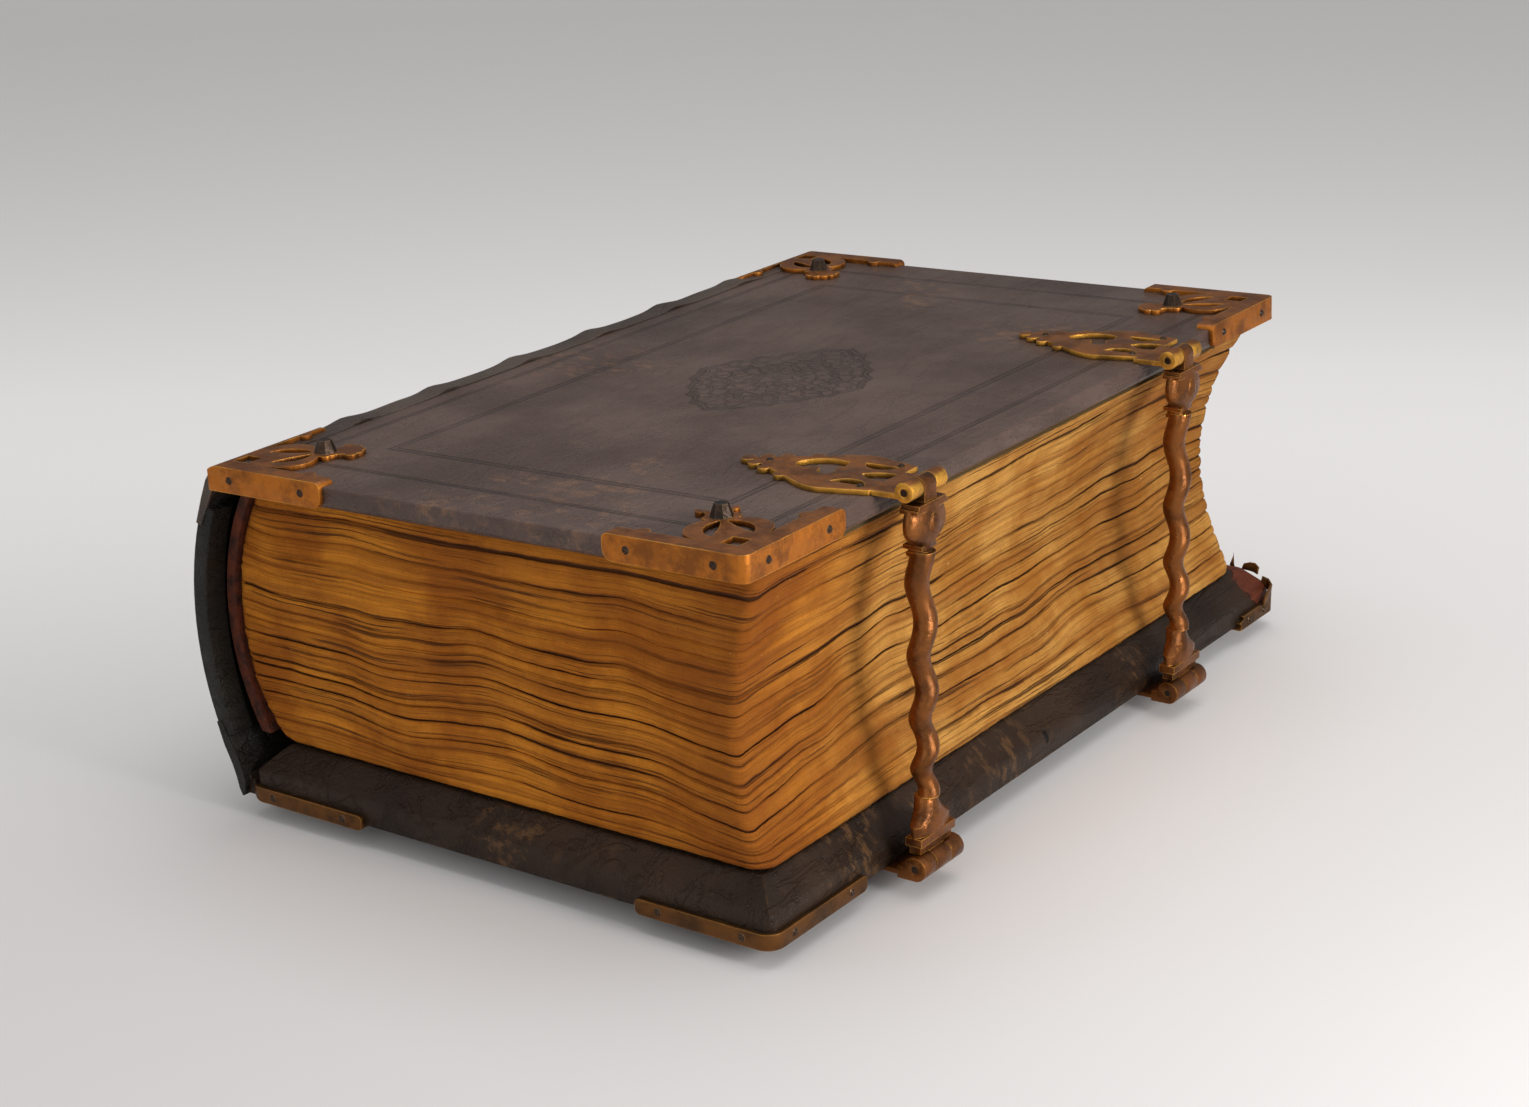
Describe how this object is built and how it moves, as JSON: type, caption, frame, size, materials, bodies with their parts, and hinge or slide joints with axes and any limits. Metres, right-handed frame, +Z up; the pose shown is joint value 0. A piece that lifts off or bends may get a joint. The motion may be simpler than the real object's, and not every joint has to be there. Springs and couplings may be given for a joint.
{
  "type": "clasped leather book",
  "caption": "Antique folio bound in dark leather over wooden boards, with pierced brass corners, bosses and twisted clasps hooked at the fore edge.",
  "frame": {"origin": "middle of the footprint, at the level of the flat feet on the floor", "axes": "X from the spine to the fore edge with the clasps, Y from the tail to the head, Z up from the floor"},
  "size_m": [0.3115, 0.4372, 0.1694],
  "materials": {
    "book_leather": "dark grey-brown, worn and scuffed",
    "oak_board": "plain old wood",
    "rag_paper": "browned, wavy leaves",
    "vellum_lining": "plain pasted strips",
    "hemp_cord": "plain cord",
    "aged_brass": "reddish cast brass, bright in the openings",
    "dark_brass": "darkened brass"
  },
  "bodies": {
    "back_cover": {"back_board": "oak_board", "back_leather": "book_leather", "back_pastedown": "rag_paper", "back_corner_tail_spine": "dark_brass", "back_corner_tail_fore": "aged_brass", "back_corner_head_spine": "dark_brass", "back_corner_head_fore": "aged_brass", "back_bosses": "dark_brass", "back_corner_nails": "dark_brass", "tail_hinge_plate": "aged_brass", "head_hinge_plate": "aged_brass", "tail_hinge_pin": "dark_brass", "head_hinge_pin": "dark_brass", "hinge_plate_rivets": "dark_brass"},
    "leaves": {"text_block": "rag_paper", "spine_lining": "vellum_lining", "sewing_cords": "hemp_cord", "spine_leather": "book_leather"},
    "front_cover": {"front_board": "oak_board", "front_leather": "book_leather", "front_pastedown": "rag_paper", "front_corner_tail_spine": "dark_brass", "front_corner_tail_fore": "aged_brass", "front_corner_head_spine": "dark_brass", "front_corner_head_fore": "aged_brass", "front_bosses": "dark_brass", "front_corner_nails": "dark_brass", "tail_catch_plate": "aged_brass", "head_catch_plate": "aged_brass", "tail_catch_bar": "dark_brass", "head_catch_bar": "dark_brass", "catch_plate_rivets": "dark_brass"},
    "tail_arm": {"tail_clasp": "aged_brass"},
    "head_arm": {"head_clasp": "aged_brass"}
  },
  "joints": [
    {"name": "back_joint", "type": "hinge", "parent": "back_cover", "child": "leaves", "pos_m": [-0.13625, 0, 0.022], "axis": [0, -1, 0], "range_deg": [0, 90]},
    {"name": "front_joint", "type": "hinge", "parent": "leaves", "child": "front_cover", "pos_m": [-0.13325, 0, 0.1487], "axis": [0, -1, 0], "range_deg": [0, 130]},
    {"name": "tail_clasp_hinge", "type": "hinge", "parent": "back_cover", "child": "tail_arm", "pos_m": [0.15075, -0.1187, 0.013], "axis": [0, 1, 0], "range_deg": [0, 92]},
    {"name": "head_clasp_hinge", "type": "hinge", "parent": "back_cover", "child": "head_arm", "pos_m": [0.15075, 0.0943, 0.013], "axis": [0, 1, 0], "range_deg": [0, 92]}
  ]
}
